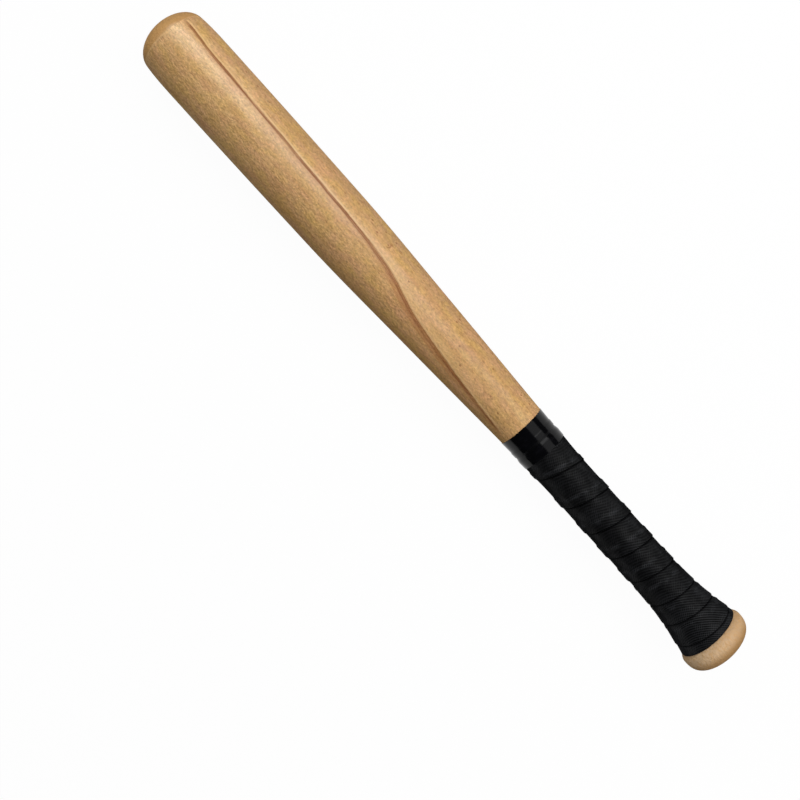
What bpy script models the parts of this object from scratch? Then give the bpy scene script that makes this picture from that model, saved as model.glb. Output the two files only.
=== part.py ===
"""A short turned wooden bat with a lapped grip tape and a band of finishing tape.

The bat lies along X. The origin is the centre of the small flat on the end of the knob,
+X runs to the tip of the barrel and +Z is up. Every length is in metres.
A turn of tape is counted from the place where its knob-side edge leaves the knob.
"""

import math

import bmesh
import bpy

# Whole bat
BAT_LENGTH = 0.540

# Barrel, with distances from its tip
TIP_DOME_HEIGHT = 0.0134
TIP_HALF_BALL_DEPTH = 0.0147
TIP_EDGE_DIAMETER = 0.0467
BARREL_DIAMETER = 0.0487
BARREL_WIDEST_FROM_TIP = 0.0380
BARREL_BACK_DIAMETER = 0.0470
BARREL_BACK_FROM_TIP = 0.167

# Taper and handle, with distances from the end of the knob
TAPER_MIDDLE_DIAMETER = 0.0406
HANDLE_TOP_DIAMETER = 0.0328
HANDLE_TOP = 0.1955
HANDLE_DIAMETER = 0.0288
HANDLE_SLIM_END = 0.148
FLARE_LENGTH = 0.049

# Knob
KNOB_DIAMETER = 0.0466
KNOB_DOME_DEPTH = 0.0129
KNOB_END_FLAT_DIAMETER = 0.012
KNOB_HEEL_LENGTH = 0.0043
NECK_DIAMETER = 0.0410

# Bends of the outline, as powers of their curves
KNOB_DOME_POWER = 2.9
HEEL_POWER = 1.9
FLARE_POWER = 2.1
SHOULDER_POWER = 2.8

# Grip tape, one long strip
GRIP_WIDTH = 0.0275
GRIP_THICKNESS = 0.0005
GRIP_LAP = 0.0054
GRIP_END = 0.1785
GRIP_TAIL_WIDTH = 0.0055
GRIP_EASE_TURNS = 2.0

# Finishing tape, a narrower strip in two turns side by side
FINISH_WIDTH = 0.0127
FINISH_THICKNESS = 0.00025
FINISH_LAP = 0.0033
FINISH_GRIP_COVER = 0.0054
FINISH_TURNS = 2.125
FINISH_SHIFT_FROM = 0.75
FINISH_SHIFT_TO = 1.25

# Where each tape starts round X, from +Y towards +Z
GRIP_START_ANGLE = math.radians(180)
FINISH_START_ANGLE = math.radians(-90)

# Clearances of the tapes, and the length in which a lapped turn comes down to the wood
SEAT_GAP = 0.00025
LAYER_GAP = 0.0005
EDGE_GAP = 0.0005
LAP_RAMP = 0.0012

# Steps ahead of the grip tape's start at which the next turn starts and ends its climb on it
LEAD_FROM = 3
LEAD_TO = 1

# Facets and steps of the shape
SIDES = 48
STEPS_PER_TURN = 24
DOME_RINGS = 8
HEEL_RINGS = 4
FLARE_RINGS = 11
HANDLE_RINGS = 2
TAPER_RINGS = 5
SHOULDER_RINGS = 6
GRIP_LIFTED_STEPS = 2
GRIP_SEATED_STEPS = 2
FINISH_STEPS = 6
LEAST_STATION_GAP = 0.0002
MERGE_DISTANCE = 0.000001
CRISP_EDGE_ANGLE = math.radians(25)

# Places that follow from the sizes above
KNOB_RADIUS = KNOB_DIAMETER / 2
NECK_RADIUS = NECK_DIAMETER / 2
HANDLE_RADIUS = HANDLE_DIAMETER / 2
BARREL_RADIUS = BARREL_DIAMETER / 2
TIP_EDGE_RADIUS = TIP_EDGE_DIAMETER / 2
KNOB_END_FLAT_RADIUS = KNOB_END_FLAT_DIAMETER / 2
NECK = KNOB_DOME_DEPTH + KNOB_HEEL_LENGTH
FLARE_END = NECK + FLARE_LENGTH
BARREL_BACK = BAT_LENGTH - BARREL_BACK_FROM_TIP
BARREL_WIDEST = BAT_LENGTH - BARREL_WIDEST_FROM_TIP
TIP_EDGE = BAT_LENGTH - TIP_DOME_HEIGHT
FINISH_START = GRIP_END - FINISH_GRIP_COVER
FACET_ALLOWANCE = 1 / math.cos(math.pi / STEPS_PER_TURN)

# Colours as red, green and blue, with roughness
BEECH = ((0.58, 0.36, 0.17), 0.38)
GRIP_BLACK = ((0.012, 0.012, 0.013), 0.75)
FINISH_BLACK = ((0.006, 0.006, 0.007), 0.18)


def clear_scene():
    for old in list(bpy.data.objects):
        bpy.data.objects.remove(old, do_unlink=True)


def material(name, finish):
    colour, roughness = finish
    made = bpy.data.materials.new(name)
    made.use_nodes = True
    shader = made.node_tree.nodes["Principled BSDF"]
    shader.inputs["Base Color"].default_value = (*colour, 1.0)
    shader.inputs["Roughness"].default_value = roughness
    shader.inputs["Metallic"].default_value = 0.0
    made.diffuse_color = (*colour, 1.0)
    return made


def eased(share):
    """0 to 1 with level ends, as share goes from 0 to 1."""
    held = min(max(share, 0.0), 1.0)
    return held * held * (3 - 2 * held)


def hermite(x, start, end):
    """Height at x on the cubic between two (place, height, slope) ends."""
    x0, y0, slope0 = start
    x1, y1, slope1 = end
    length = x1 - x0
    u = (x - x0) / length
    rise = u * u * (3 - 2 * u)
    return (
        y0 * (1 - rise)
        + y1 * rise
        + length * u * (1 - u) * ((1 - u) * slope0 - u * slope1)
    )


def shared_slope(before, here, after):
    """Slope at a place of a smooth outline that never overshoots its neighbours."""
    first = (here[1] - before[1]) / (here[0] - before[0])
    second = (after[1] - here[1]) / (after[0] - here[0])
    if first * second <= 0:
        return 0.0
    return 2 * first * second / (first + second)


def taper_places():
    """(place, radius) from the slim handle through the taper to the widest of the barrel."""
    return [
        (HANDLE_SLIM_END, HANDLE_RADIUS),
        (HANDLE_TOP, HANDLE_TOP_DIAMETER / 2),
        ((HANDLE_TOP + BARREL_BACK) / 2, TAPER_MIDDLE_DIAMETER / 2),
        (BARREL_BACK, BARREL_BACK_DIAMETER / 2),
        (BARREL_WIDEST, BARREL_RADIUS),
    ]


def taper_radius(x):
    places = taper_places()
    slopes = [0.0]
    for before, here, after in zip(places, places[1:], places[2:]):
        slopes.append(shared_slope(before, here, after))
    slopes.append(0.0)
    ends = [(*place, slope) for place, slope in zip(places, slopes)]
    for start, end in zip(ends, ends[1:]):
        if x <= end[0]:
            return hermite(x, start, end)
    return BARREL_RADIUS


def wood_radius(x):
    """Radius of the turned body from the knob's widest place to the tip's edge."""
    if x <= NECK:
        passed = (x - KNOB_DOME_DEPTH) / KNOB_HEEL_LENGTH
        return KNOB_RADIUS - (KNOB_RADIUS - NECK_RADIUS) * passed**HEEL_POWER
    if x <= FLARE_END:
        left = (FLARE_END - x) / FLARE_LENGTH
        return HANDLE_RADIUS + (NECK_RADIUS - HANDLE_RADIUS) * left**FLARE_POWER
    if x <= HANDLE_SLIM_END:
        return HANDLE_RADIUS
    if x <= BARREL_WIDEST:
        return taper_radius(x)
    share = (x - BARREL_WIDEST) / (TIP_EDGE - BARREL_WIDEST)
    fall = BARREL_RADIUS - TIP_EDGE_RADIUS
    return BARREL_RADIUS - fall * share**SHOULDER_POWER


def evenly(start, end, steps):
    """Places from after start up to end, in equal steps."""
    return [start + (end - start) * (i + 1) / steps for i in range(steps)]


def knob_dome_outline():
    """(place, radius) round the knob's end, closer together where it bends most."""
    flat_share = (KNOB_END_FLAT_RADIUS / KNOB_RADIUS) ** KNOB_DOME_POWER
    full_depth = KNOB_DOME_DEPTH / (1 - flat_share) ** (1 / KNOB_DOME_POWER)
    first = math.asin(flat_share**0.5)
    outline = []
    for angle in [first, *evenly(first, math.pi / 2, DOME_RINGS)]:
        depth = full_depth * max(math.cos(angle), 0.0) ** (2 / KNOB_DOME_POWER)
        radius = KNOB_RADIUS * math.sin(angle) ** (2 / KNOB_DOME_POWER)
        outline.append((KNOB_DOME_DEPTH - depth, radius))
    return outline


def tip_dome_outline():
    """(place, radius) of the cap on the tip, a slice of a flattened half-ball, from its edge."""
    centre = BAT_LENGTH - TIP_HALF_BALL_DEPTH
    edge_angle = math.acos((TIP_EDGE - centre) / TIP_HALF_BALL_DEPTH)
    half_ball_radius = TIP_EDGE_RADIUS / math.sin(edge_angle)
    outline = []
    for angle in evenly(edge_angle, 0.0, DOME_RINGS):
        x = centre + TIP_HALF_BALL_DEPTH * math.cos(angle)
        outline.append((x, half_ball_radius * math.sin(angle)))
    return outline


def body_outline():
    """(place, radius) along the whole body, from the flat's centre to the tip's apex."""
    stretches = [
        (KNOB_DOME_DEPTH, NECK, HEEL_RINGS),
        (NECK, FLARE_END, FLARE_RINGS),
        (FLARE_END, HANDLE_SLIM_END, HANDLE_RINGS),
    ]
    for before, after in zip(taper_places(), taper_places()[1:]):
        stretches.append((before[0], after[0], TAPER_RINGS))
    stretches.append((BARREL_WIDEST, TIP_EDGE, SHOULDER_RINGS))
    outline = [(0.0, 0.0), *knob_dome_outline()]
    for start, end, steps in stretches:
        for x in evenly(start, end, steps):
            outline.append((x, wood_radius(x)))
    return outline + tip_dome_outline()


def finished_object(name, mesh_data, finish, parent):
    """An object from a bmesh, with its own material, shaded smooth but for crisp edges."""
    mesh = bpy.data.meshes.new(name)
    mesh_data.to_mesh(mesh)
    mesh_data.free()
    mesh.materials.append(material(name, finish))
    mesh.shade_smooth()
    mesh.set_sharp_from_angle(angle=CRISP_EDGE_ANGLE)
    made = bpy.data.objects.new(name, mesh)
    made.parent = parent
    bpy.context.collection.objects.link(made)
    return made


def bat_body(parent):
    """The one-piece billet, turned round X with a flat facet down."""
    half_step = math.pi / SIDES
    turned = bmesh.new()
    outline = []
    for x, radius in body_outline():
        y = radius * math.cos(half_step)
        z = radius * math.sin(half_step)
        outline.append(turned.verts.new((x, y, z)))
    edges = [turned.edges.new(pair) for pair in zip(outline, outline[1:])]
    bmesh.ops.spin(
        turned,
        geom=outline + edges,
        cent=(0, 0, 0),
        axis=(1, 0, 0),
        angle=2 * math.pi,
        steps=SIDES,
        use_merge=True,
    )
    bmesh.ops.remove_doubles(turned, verts=turned.verts, dist=MERGE_DISTANCE)
    bmesh.ops.recalc_face_normals(turned, faces=turned.faces)
    return finished_object("bat_body", turned, BEECH, parent)


def wood_seat(x):
    """Radius of a winding's corners where the middle of its flats clears the wood."""
    return (wood_radius(x) + SEAT_GAP) * FACET_ALLOWANCE


def grip_pitch():
    """(first pitch, full pitch) of the grip tape.

    The full pitch leaves one lap. The first is what lets the third turn start just past
    the first one, so the tape lies two deep round the knob's neck and never three.
    """
    full = GRIP_WIDTH - GRIP_LAP
    two_turns = GRIP_WIDTH + 2 * EDGE_GAP + LAP_RAMP
    ease = GRIP_EASE_TURNS * (1 - math.exp(-2 / GRIP_EASE_TURNS))
    return full - (2 * full - two_turns) / ease, full


def grip_near_edge(turn):
    """Place of the grip tape's knob-side edge, square to the bat until turn 0."""
    if turn <= 0:
        return NECK
    first, full = grip_pitch()
    ease = GRIP_EASE_TURNS * (1 - math.exp(-turn / GRIP_EASE_TURNS))
    return NECK + full * turn - (full - first) * ease


def grip_far_edge(turn):
    """Place of its barrel-side edge: cut on the slant at the start, square at the end."""
    third_turn = turn + 2 - LEAD_FROM / STEPS_PER_TURN
    slant = grip_near_edge(third_turn) - 2 * EDGE_GAP - LAP_RAMP
    whole = grip_near_edge(turn) + GRIP_WIDTH
    if turn < 0:
        whole = min(whole, slant)
    return min(whole, GRIP_END)


def grip_last_step():
    """Steps of a turn from turn 0 until the tape is down to the width of its tail."""
    step = 0
    while grip_near_edge(step / STEPS_PER_TURN) < GRIP_END - GRIP_TAIL_WIDTH:
        step += 1
    return step


def finish_near_edge(turn):
    """Place of the finishing tape's knob-side edge, square for most of each turn."""
    shift = FINISH_WIDTH - FINISH_LAP
    share = (turn - FINISH_SHIFT_FROM) / (FINISH_SHIFT_TO - FINISH_SHIFT_FROM)
    return FINISH_START + shift * eased(share)


def grip_stations(near, lift_end, far):
    """Places across the grip tape: on the turn below, down the ramp, and on the wood."""
    lifted_room = GRIP_LIFTED_STEPS * LEAST_STATION_GAP
    seated_room = GRIP_SEATED_STEPS * LEAST_STATION_GAP
    lift_end = max(lift_end, near + lifted_room)
    lift_end = min(lift_end, far - seated_room - LEAST_STATION_GAP)
    ramp_end = min(lift_end + LAP_RAMP, far - seated_room)
    lifted = [near, *evenly(near, lift_end, GRIP_LIFTED_STEPS)]
    return [*lifted, ramp_end, *evenly(ramp_end, far, GRIP_SEATED_STEPS)]


def grip_rings():
    """Cross-sections of the grip tape, each (step, places, inner radii, outer radii).

    A turn climbs on the one before just ahead of that one's cut start, and comes down to
    the wood past that one's far edge.
    """
    rings = []
    lift = GRIP_THICKNESS + LAYER_GAP
    for step in range(-STEPS_PER_TURN, grip_last_step() + 1):
        turn = step / STEPS_PER_TURN
        lift_end = grip_far_edge(max(turn - 1, -1)) + EDGE_GAP
        climbed = eased((step + LEAD_FROM) / (LEAD_FROM - LEAD_TO))
        places = grip_stations(grip_near_edge(turn), lift_end, grip_far_edge(turn))
        inner = []
        for x in places:
            on_turn_below = min(max(1 - (x - lift_end) / LAP_RAMP, 0.0), 1.0)
            inner.append(wood_seat(x) + lift * climbed * on_turn_below)
        outer = [radius + GRIP_THICKNESS for radius in inner]
        rings.append((step, places, inner, outer))
    return rings


def outer_radius_at(ring, x):
    """Outer radius of a cross-section at a place, held past its edges."""
    _, places, _, outer = ring
    for i in range(len(places) - 1):
        if x <= places[i + 1]:
            share = max(x - places[i], 0.0) / (places[i + 1] - places[i])
            return outer[i] + (outer[i + 1] - outer[i]) * share
    return outer[-1]


def top_below(rings, step, x, reach):
    """The highest that rings at this step of any turn, or a step beside it, come near x."""
    highest = 0.0
    for ring in rings:
        apart = (ring[0] - step) % STEPS_PER_TURN
        beside = apart <= 1 or apart == STEPS_PER_TURN - 1
        if beside and ring[1][0] - reach <= x <= ring[1][-1] + reach:
            near_x = (x - reach, x, x + reach)
            highest = max(highest, *(outer_radius_at(ring, place) for place in near_x))
    return highest


def finish_rings(grip, offset):
    """Cross-sections of the finishing tape, over the grip tape's end and its own turns."""
    rings = []
    reach = FINISH_WIDTH / FINISH_STEPS
    for step in range(round(FINISH_TURNS * STEPS_PER_TURN) + 1):
        near = finish_near_edge(step / STEPS_PER_TURN)
        places = [near, *evenly(near, near + FINISH_WIDTH, FINISH_STEPS)]
        last_turns = rings[: max(step - STEPS_PER_TURN + 2, 0)]
        inner = []
        for x in places:
            over_grip = top_below(grip, step + offset, x, reach) + SEAT_GAP * FACET_ALLOWANCE
            over_itself = top_below(last_turns, step, x, reach) + LAYER_GAP
            inner.append(max(wood_seat(x), over_grip, over_itself))
        outer = [radius + FINISH_THICKNESS for radius in inner]
        rings.append((step, places, inner, outer))
    return rings


def distance_to_line(point, line):
    """Least distance from a point to a line of points, all (place, radius)."""
    least = math.inf
    for start, end in zip(line, line[1:]):
        along = (end[0] - start[0], end[1] - start[1])
        away = (point[0] - start[0], point[1] - start[1])
        length = along[0] ** 2 + along[1] ** 2
        share = (away[0] * along[0] + away[1] * along[1]) / length
        share = min(max(share, 0.0), 1.0)
        least = min(
            least,
            math.hypot(away[0] - share * along[0], away[1] - share * along[1]),
        )
    return least


def least_gap_to_itself(rings):
    """Least gap between each turn of a strip and the turn that lies on it."""
    least = math.inf
    for below, above in zip(rings, rings[STEPS_PER_TURN:]):
        top = list(zip(below[1], below[3]))
        underside = list(zip(above[1], above[2]))
        for point in top:
            least = min(least, distance_to_line(point, underside))
        for point in underside:
            least = min(least, distance_to_line(point, top))
    return least * math.cos(math.pi / STEPS_PER_TURN)


def around(step, x, radius, start_angle):
    """The point at a radius after so many steps of a left-handed turn about X."""
    angle = start_angle - 2 * math.pi * step / STEPS_PER_TURN
    return (x, radius * math.cos(angle), radius * math.sin(angle))


def wound_strip(name, rings, start_angle, finish, parent):
    """One unbroken strip through the cross-sections, with its two cut ends closed."""
    strip = bmesh.new()
    loops = []
    for step, places, inner, outer in rings:
        section = [*zip(places, outer), *zip(places[::-1], inner[::-1])]
        points = [around(step, x, radius, start_angle) for x, radius in section]
        loops.append([strip.verts.new(point) for point in points])
    for before, after in zip(loops, loops[1:]):
        sides = zip(before, before[1:] + before[:1], after[1:] + after[:1], after)
        for corners in sides:
            strip.faces.new(corners)
    count = len(rings[0][1])
    for loop in (loops[0], loops[-1]):
        outer_side = loop[:count]
        inner_side = loop[: count - 1 : -1]
        ends = zip(outer_side, outer_side[1:], inner_side[1:], inner_side)
        for corners in ends:
            strip.faces.new(corners)
    bmesh.ops.recalc_face_normals(strip, faces=strip.faces)
    print(f"{name}: least gap to itself {least_gap_to_itself(rings) * 1000:.2f} mm")
    return finished_object(name, strip, finish, parent)


def tapes(parent):
    """The grip tape, and the finishing tape whose start is hidden underneath."""
    turns_apart = (GRIP_START_ANGLE - FINISH_START_ANGLE) / (2 * math.pi)
    grip = grip_rings()
    finish = finish_rings(grip, round(turns_apart * STEPS_PER_TURN))
    wound_strip("grip_tape", grip, GRIP_START_ANGLE, GRIP_BLACK, parent)
    wound_strip("finish_tape", finish, FINISH_START_ANGLE, FINISH_BLACK, parent)


def main():
    clear_scene()
    bat = bpy.data.objects.new("bat", None)
    bpy.context.collection.objects.link(bat)
    bat_body(bat)
    tapes(bat)


main()
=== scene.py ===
"""Dresses a short wooden bat: a turned and varnished beech body, a lapped black grip tape
and a glossy black finishing tape, on a pale floor under soft light.

The bat lies along X with the end of its knob at the origin and its tip at +X, and +Z is
up. Every length is in metres and every angle in radians. Turns of the grip tape count from
where its edge reaches the end of its collar at the knob, those of the other from its start.
"""

import math
from functools import cache
from types import SimpleNamespace

import bmesh
import bpy
from mathutils import Matrix, Vector, noise


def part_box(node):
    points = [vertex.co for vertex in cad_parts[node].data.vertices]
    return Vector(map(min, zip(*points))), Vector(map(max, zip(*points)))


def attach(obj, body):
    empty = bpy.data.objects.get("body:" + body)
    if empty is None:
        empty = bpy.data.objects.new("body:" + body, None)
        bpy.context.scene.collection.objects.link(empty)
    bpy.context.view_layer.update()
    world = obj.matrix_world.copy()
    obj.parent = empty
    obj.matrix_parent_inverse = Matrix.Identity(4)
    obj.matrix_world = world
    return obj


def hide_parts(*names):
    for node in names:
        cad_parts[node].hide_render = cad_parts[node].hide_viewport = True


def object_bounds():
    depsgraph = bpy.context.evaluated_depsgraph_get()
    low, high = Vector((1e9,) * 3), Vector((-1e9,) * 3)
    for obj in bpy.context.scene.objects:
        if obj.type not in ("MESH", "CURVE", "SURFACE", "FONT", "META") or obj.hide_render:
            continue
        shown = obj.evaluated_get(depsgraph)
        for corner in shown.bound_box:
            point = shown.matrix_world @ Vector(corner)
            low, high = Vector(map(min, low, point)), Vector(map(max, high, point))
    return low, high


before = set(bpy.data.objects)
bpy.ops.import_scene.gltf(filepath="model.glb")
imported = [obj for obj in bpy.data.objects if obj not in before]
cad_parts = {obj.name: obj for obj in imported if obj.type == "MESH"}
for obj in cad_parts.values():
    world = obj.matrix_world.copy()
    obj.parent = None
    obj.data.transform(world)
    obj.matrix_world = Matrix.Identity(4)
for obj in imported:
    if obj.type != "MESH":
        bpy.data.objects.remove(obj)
CAD_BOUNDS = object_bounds()
BAT_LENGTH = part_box("bat_body")[1].x

bl_info = {
    "name": "Short Wooden Bat",
    "version": (1, 0, 0),
    "blender": (4, 5, 0),
    "location": "3D View > Sidebar > Bat",
    "description": "Turns a beech bat, winds its two tapes and lights it",
    "category": "Add Mesh",
}


# Fixed sizes in metres, and shares

TAPE_GAP = 0.00003  # Room between a strip and what it lies on
TURN_GAP = 0.00002  # More of it where the finishing tape lies on itself
THINNEST = 0.0002  # The grip tape is nowhere thinner
EDGE_ROUND = 0.00028  # Rounding of the grip tape's outer edges
CREST_WIDTH = 0.0011  # Half width of the ridge over a hidden edge
CREST_END = 0.004  # The ridge is left out this close to the strip's end
RIPPLE = 0.00006  # Height of the grip tape's small waves
SWELL = 0.00012  # Height of its large waves
FEEL_STEP = 0.0007  # Between places where the finishing tape feels for what is below
STEP_RAMP = 0.0009  # Length over which its second turn comes down from the first
SPECK_ROOM = (0.012, 0.0095)  # Room of one speck in the wood, along and round the bat
LAMP_GAP = 0.02  # The lamps that gloss doesn't see hang so far behind the panel
CLIMB_SHARE = 0.7  # Share of the lead over which the grip tape climbs onto its first turn
CROWDING = 0.8  # How much narrower a strip's cells are at its edges, 1 for no width

# Grains per metre along and across the bat, and the detail, of each pattern in the wood
WOOD_FIGURE = {
    "tone": (7.0, 60.0, 3.0),
    "patch": (60.0, 170.0, 3.0),
    "blush": (41.0, 130.0, 2.0),
    "dapple": (110.0, 170.0, 1.0),
    "mottle": (480.0, 680.0, 3.0),
    "grain": (24.0, 430.0, 3.0),
    "fibre": (75.0, 1150.0, 3.0),
    "speckle": (800.0, 1150.0, 1.0),
    "ripple": (520.0, 640.0, 2.0),
}


# Settings


def setting(kind, **more):
    """A function that writes a setting of one kind."""

    def written(name, default, description):
        return kind(name=name, description=description, default=default, **more)

    return written


length = setting(bpy.props.FloatProperty, unit="LENGTH", precision=5)
number = setting(bpy.props.FloatProperty, subtype="FACTOR", precision=3)
radians = setting(bpy.props.FloatProperty, subtype="ANGLE")
count = setting(bpy.props.IntProperty, min=1, subtype="UNSIGNED")
colour = setting(bpy.props.FloatVectorProperty, size=3, subtype="COLOR", min=0, max=1)
eight_lengths = setting(bpy.props.FloatVectorProperty, size=8, unit="LENGTH", precision=5)


def angle(name, degrees, description):
    return radians(name, math.radians(degrees), description)


class BodySizes(bpy.types.PropertyGroup):
    """Sizes of the turned body, with places measured from the end of the knob"""

    total: length("Length", BAT_LENGTH, "From the end of the knob to the tip")
    tip_dome: length("Tip dome", 0.0134, "Height of the cap on the tip")
    tip_ball: length("Tip ball", 0.0147, "Depth of the flattened half-ball that holds it")
    tip_edge: length("Tip edge", 0.0467, "Diameter of the edge round the cap")
    edge_round: length("Edge rounding", 0.0005, "Width of that edge where it is sanded")
    barrel: length("Barrel", 0.0487, "Its widest diameter")
    barrel_widest: length("Barrel widest", 0.038, "From the tip to that place")
    barrel_back: length("Barrel back", 0.047, "Diameter where the taper starts")
    barrel_back_place: length("Barrel back place", 0.167, "From the tip to that place")
    taper_middle: length("Taper middle", 0.0406, "Diameter half-way down the taper")
    handle_top: length("Handle top", 0.0328, "Diameter at the tapes' upper end")
    handle_top_place: length("Handle top place", 0.1955, "Near the tapes' upper end")
    handle: length("Handle", 0.0288, "Diameter of the slim handle")
    handle_slim_end: length("Slim handle's end", 0.148, "Where the handle starts to widen")
    flare: length("Flare", 0.049, "Over which the handle widens to the knob")
    neck: length("Neck", 0.041, "Diameter where the grip tape starts at the knob")
    knob: length("Knob", 0.0466, "Its widest diameter")
    knob_dome: length("Knob dome", 0.0129, "Depth of its rounded end")
    knob_heel: length("Knob heel", 0.0043, "From the knob's widest place to the neck")
    knob_flat: length("Knob flat", 0.012, "Diameter of the flat on its end")
    dome_power: number("Dome bend", 2.9, "Power of the knob's rounded end")
    heel_power: number("Heel bend", 1.9, "Power of the knob's fall to the neck")
    flare_power: number("Flare bend", 2.1, "Power of the handle's flare")
    shoulder_power: number("Shoulder bend", 2.8, "Power of the fall to the tip's edge")
    sides: count("Sides", 192, "Faces round the body")


class GripSizes(bpy.types.PropertyGroup):
    """Sizes of the grip tape"""

    width: length("Width", 0.0275, "Width of the strip")
    thickness: length("Thickness", 0.0007, "Thickness of the soft strip on the wood")
    seat: length("Seat", 0.0002, "Glue between the strip and the wood")
    collar: length("Collar", 0.0043, "From the neck to its second turn's edge")
    laps: eight_lengths(
        "Laps",
        (0.0052, 0.0203, 0.035, 0.0545, 0.0744, 0.0952, 0.1167, 0.1412),
        "From the neck to each further turn's edge, on top of the bat",
    )
    lap_rise: length("Lap rise", 0.00062, "Rise of a turn's edge on the one before")
    lap_sink: number("Lap sink", 0.45, "Share of it that is lost before the hidden edge")
    lap_ramp: length("Lap ramp", 0.0024, "Over which a turn comes down to the wood")
    crest: length("Crest", 0.00025, "Ridge over the hidden edge of the turn before")
    edge_gap: length("Edge gap", 0.0005, "Least distance between the strip's own edges")
    slant_room: length("Slant room", 0.0012, "Room that the slanted start leaves")
    end: length("End", 0.1785, "Where it is cut off square")
    tail: length("Tail", 0.0055, "Width of its last end")
    start: angle("Start", 180, "Where turn 0 starts, from +Y towards +Z")
    first_turn: number("First turn", -1.333, "Turn at which the strip starts, cut off")
    collar_end: number("Collar end", 0.15, "Turn at which it winds away from the collar")
    lead: number("Lead", 0.125, "Share of a turn by which it climbs early")
    across: count("Cells across", 46, "Cells across the strip")
    around: count("Cells per turn", 96, "Cells along one turn")
    net: length("Net", 0.0015, "Pitch of the net on its face")
    black: colour("Black", (0.008, 0.0084, 0.0094), "Colour of its threads")


class FinishSizes(bpy.types.PropertyGroup):
    """Sizes of the finishing tape"""

    width: length("Width", 0.0127, "Width of the strip")
    thickness: length("Thickness", 0.00033, "Thickness of the strip")
    lap: length("Lap", 0.0033, "How far the second turn lies over the first")
    cover: length("Cover", 0.0054, "How far it covers the end of the grip tape")
    turns: number("Turns", 2.125, "How often it goes round")
    shift_from: number("Shift from", 0.75, "Turn at which it starts to move sideways")
    shift_to: number("Shift to", 1.25, "Turn at which it has moved next to itself")
    drape: length("Drape", 0.007, "Radius of its bends over a step below it")
    start: angle("Start", -90, "Where it starts, from +Y towards +Z")
    across: count("Cells across", 30, "Cells across the strip")
    around: count("Cells per turn", 120, "Cells along one turn")
    black: colour("Black", (0.0018, 0.0018, 0.0024), "Colour of the vinyl")


class BeechLook(bpy.types.PropertyGroup):
    """Colours and figure of the wood"""

    pale: colour("Pale", (0.8, 0.525, 0.255), "Palest wood between the rings")
    honey: colour("Honey", (0.69, 0.425, 0.182), "The common tone")
    tan: colour("Tan", (0.57, 0.318, 0.122), "Its darker, redder patches")
    # Painted shade: a darker colour laid on the flank towards -Y
    painted_flank_shade: colour("Dull", (0.5, 0.305, 0.148), "Tone of the side towards -Y")
    ring: colour("Ring", (0.45, 0.232, 0.082), "Late wood of a ring, and the fibres' shade")
    amber: colour("Amber", (0.66, 0.415, 0.12), "Its yellow patches")
    rose: colour("Rose", (0.7, 0.37, 0.205), "Its pink patches")
    ray: colour("Ray", (0.34, 0.16, 0.058), "Short dark flecks of the rays")
    streak: colour("Streak", (0.215, 0.068, 0.025), "Red-brown streak along the face")
    glow: colour("Glow", (0.46, 0.205, 0.078), "Stained wood on one side of it")
    # These two are blended round the knob: painted light on its +Y side, painted shade on its side
    # towards -Y
    knob_painted_light: colour("Bare", (0.82, 0.59, 0.37), "Plain wood of the knob")
    knob: colour("Knob", (0.585, 0.39, 0.225), "Its darker side")
    end_grain: colour("End grain", (0.58, 0.32, 0.118), "Wood cut across at the two ends")
    pith_y: length("Pith across", -0.012, "Middle of the tree beside the turning axis")
    pith_z: length("Pith down", -0.075, "Middle of the tree below that axis")
    ring_width: length("Ring width", 0.0023, "From one yearly ring to the next")
    ray_height: length("Ray height", 0.0045, "Room of one ray along the grain")
    ray_width: length("Ray width", 0.0007, "Its room across the grain")
    ray_depth: length("Ray depth", 0.012, "Its room towards the pith")
    streak_level: angle("Streak level", 16.6, "Its angle at its bend, from +Z to -Y")
    streak_bend: length("Streak bend", 0.338, "Where it turns across the face")
    streak_round: angle("Streak rounding", 12, "How softly it bends there")
    streak_drift: number("Streak drift", 1.5, "Its turn per metre up the barrel")
    streak_turn: number("Streak turn", 7.3, "Its turn per metre down the taper")
    streak_step: angle("Streak step", 9.5, "Its further drop, half-way down the taper")
    streak_lift: angle("Streak lift", 5, "How far it turns up at the tip")
    streak_thin: length("Streak thin", 0.0011, "Its half width on the barrel")
    streak_wide: length("Streak wide", 0.0019, "Its half width on the taper")
    knot_place: length("Knot place", 0.3366, "Where the pin knot lies")
    knot_turn: angle("Knot turn", 39, "Its angle, from +Z to -Y")
    knot_size: length("Knot size", 0.0018, "Radius of the dark ring round it")


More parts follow.
